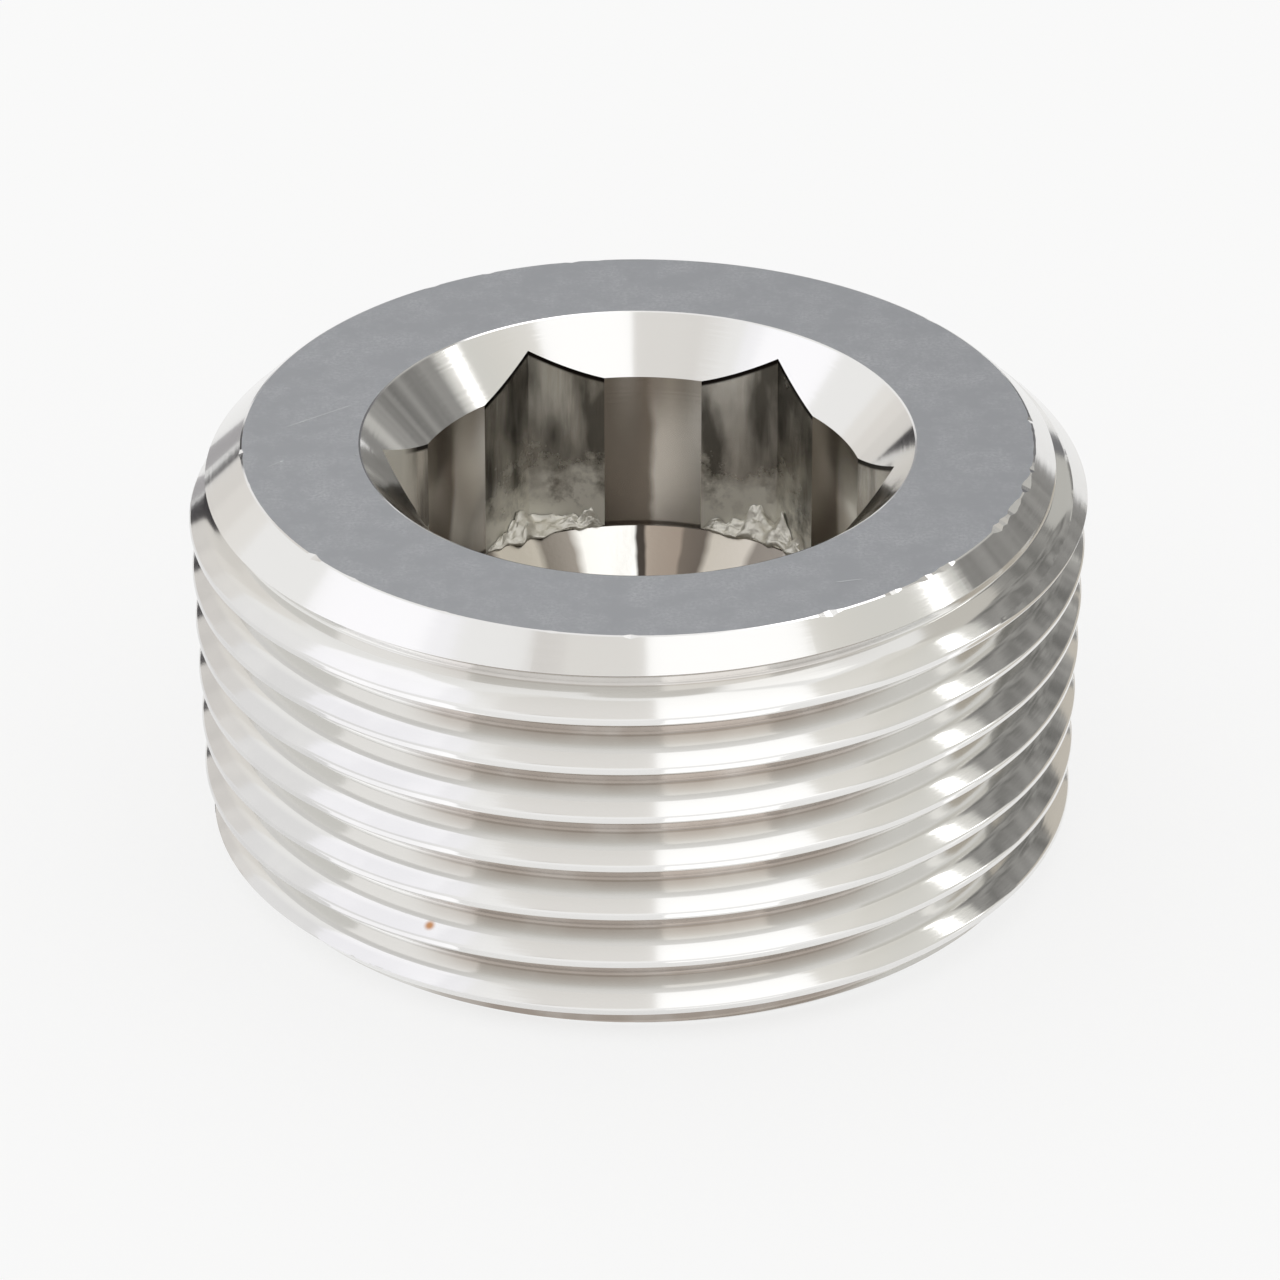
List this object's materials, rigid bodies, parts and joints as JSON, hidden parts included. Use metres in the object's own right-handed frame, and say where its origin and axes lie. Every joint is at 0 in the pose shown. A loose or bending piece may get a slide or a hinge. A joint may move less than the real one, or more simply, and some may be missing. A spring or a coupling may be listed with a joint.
{
  "type": "taper plug",
  "caption": "Hexagon socket plug with a tapered metric thread, chamfered at both ends, for closing a tapped port in a fluid line or housing.",
  "frame": {"origin": "centre of the small end's flat face, on the thread's axis", "axes": "+Z along the thread's axis, from the small end up to the large end with the hexagon socket; the part stands on the small end"},
  "size_m": [0.0244, 0.0244, 0.0117],
  "materials": {
    "stainless_steel": "turned bright stainless steel, with a finely faced end and a broached socket"
  },
  "bodies": {
    "root": {"plug_body": "stainless_steel"}
  },
  "joints": []
}
